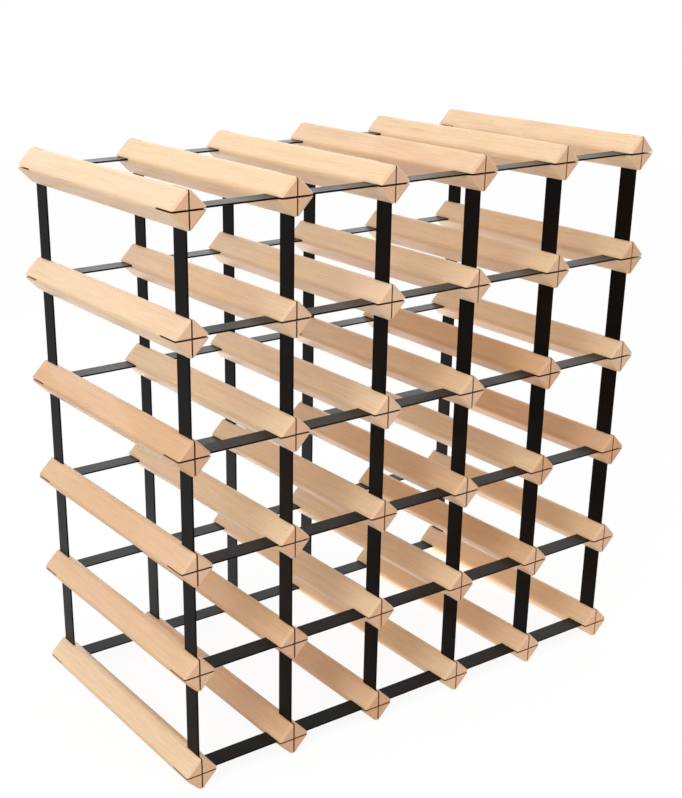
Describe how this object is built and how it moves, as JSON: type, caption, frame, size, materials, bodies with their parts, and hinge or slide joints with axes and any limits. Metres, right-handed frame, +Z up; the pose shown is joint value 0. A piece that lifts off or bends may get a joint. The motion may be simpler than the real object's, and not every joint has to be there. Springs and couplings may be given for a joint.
{
  "type": "wine rack",
  "caption": "Open lattice wine rack: square timber bars set corner-up, joined front and back by flat steel strips held in crossed saw kerfs, for bottles lying flat.",
  "frame": {"origin": "centre of the footprint, on the plane the rack stands on", "axes": "+X across the rack to the right as seen from the front, +Y from the front to the back, +Z up; the bars lie along Y"},
  "size_m": [0.5104, 0.262, 0.5105],
  "materials": {
    "timber": "clear satin lacquer",
    "steel_strip": "black satin paint"
  },
  "bodies": {
    "root": {"bar_row1_col1": "timber", "bar_row1_col2": "timber", "bar_row1_col3": "timber", "bar_row1_col4": "timber", "bar_row1_col5": "timber", "bar_row1_col6": "timber", "bar_row2_col1": "timber", "bar_row2_col2": "timber", "bar_row2_col3": "timber", "bar_row2_col4": "timber", "bar_row2_col5": "timber", "bar_row2_col6": "timber", "bar_row3_col1": "timber", "bar_row3_col2": "timber", "bar_row3_col3": "timber", "bar_row3_col4": "timber", "bar_row3_col5": "timber", "bar_row3_col6": "timber", "bar_row4_col1": "timber", "bar_row4_col2": "timber", "bar_row4_col3": "timber", "bar_row4_col4": "timber", "bar_row4_col5": "timber", "bar_row4_col6": "timber", "bar_row5_col1": "timber", "bar_row5_col2": "timber", "bar_row5_col3": "timber", "bar_row5_col4": "timber", "bar_row5_col5": "timber", "bar_row5_col6": "timber", "bar_row6_col1": "timber", "bar_row6_col2": "timber", "bar_row6_col3": "timber", "bar_row6_col4": "timber", "bar_row6_col5": "timber", "bar_row6_col6": "timber", "front_upright_strip_1": "steel_strip", "front_upright_strip_2": "steel_strip", "front_upright_strip_3": "steel_strip", "front_upright_strip_4": "steel_strip", "front_upright_strip_5": "steel_strip", "front_upright_strip_6": "steel_strip", "back_upright_strip_1": "steel_strip", "back_upright_strip_2": "steel_strip", "back_upright_strip_3": "steel_strip", "back_upright_strip_4": "steel_strip", "back_upright_strip_5": "steel_strip", "back_upright_strip_6": "steel_strip", "front_cross_strip_1": "steel_strip", "front_cross_strip_2": "steel_strip", "front_cross_strip_3": "steel_strip", "front_cross_strip_4": "steel_strip", "front_cross_strip_5": "steel_strip", "front_cross_strip_6": "steel_strip", "back_cross_strip_1": "steel_strip", "back_cross_strip_2": "steel_strip", "back_cross_strip_3": "steel_strip", "back_cross_strip_4": "steel_strip", "back_cross_strip_5": "steel_strip", "back_cross_strip_6": "steel_strip"}
  },
  "joints": []
}
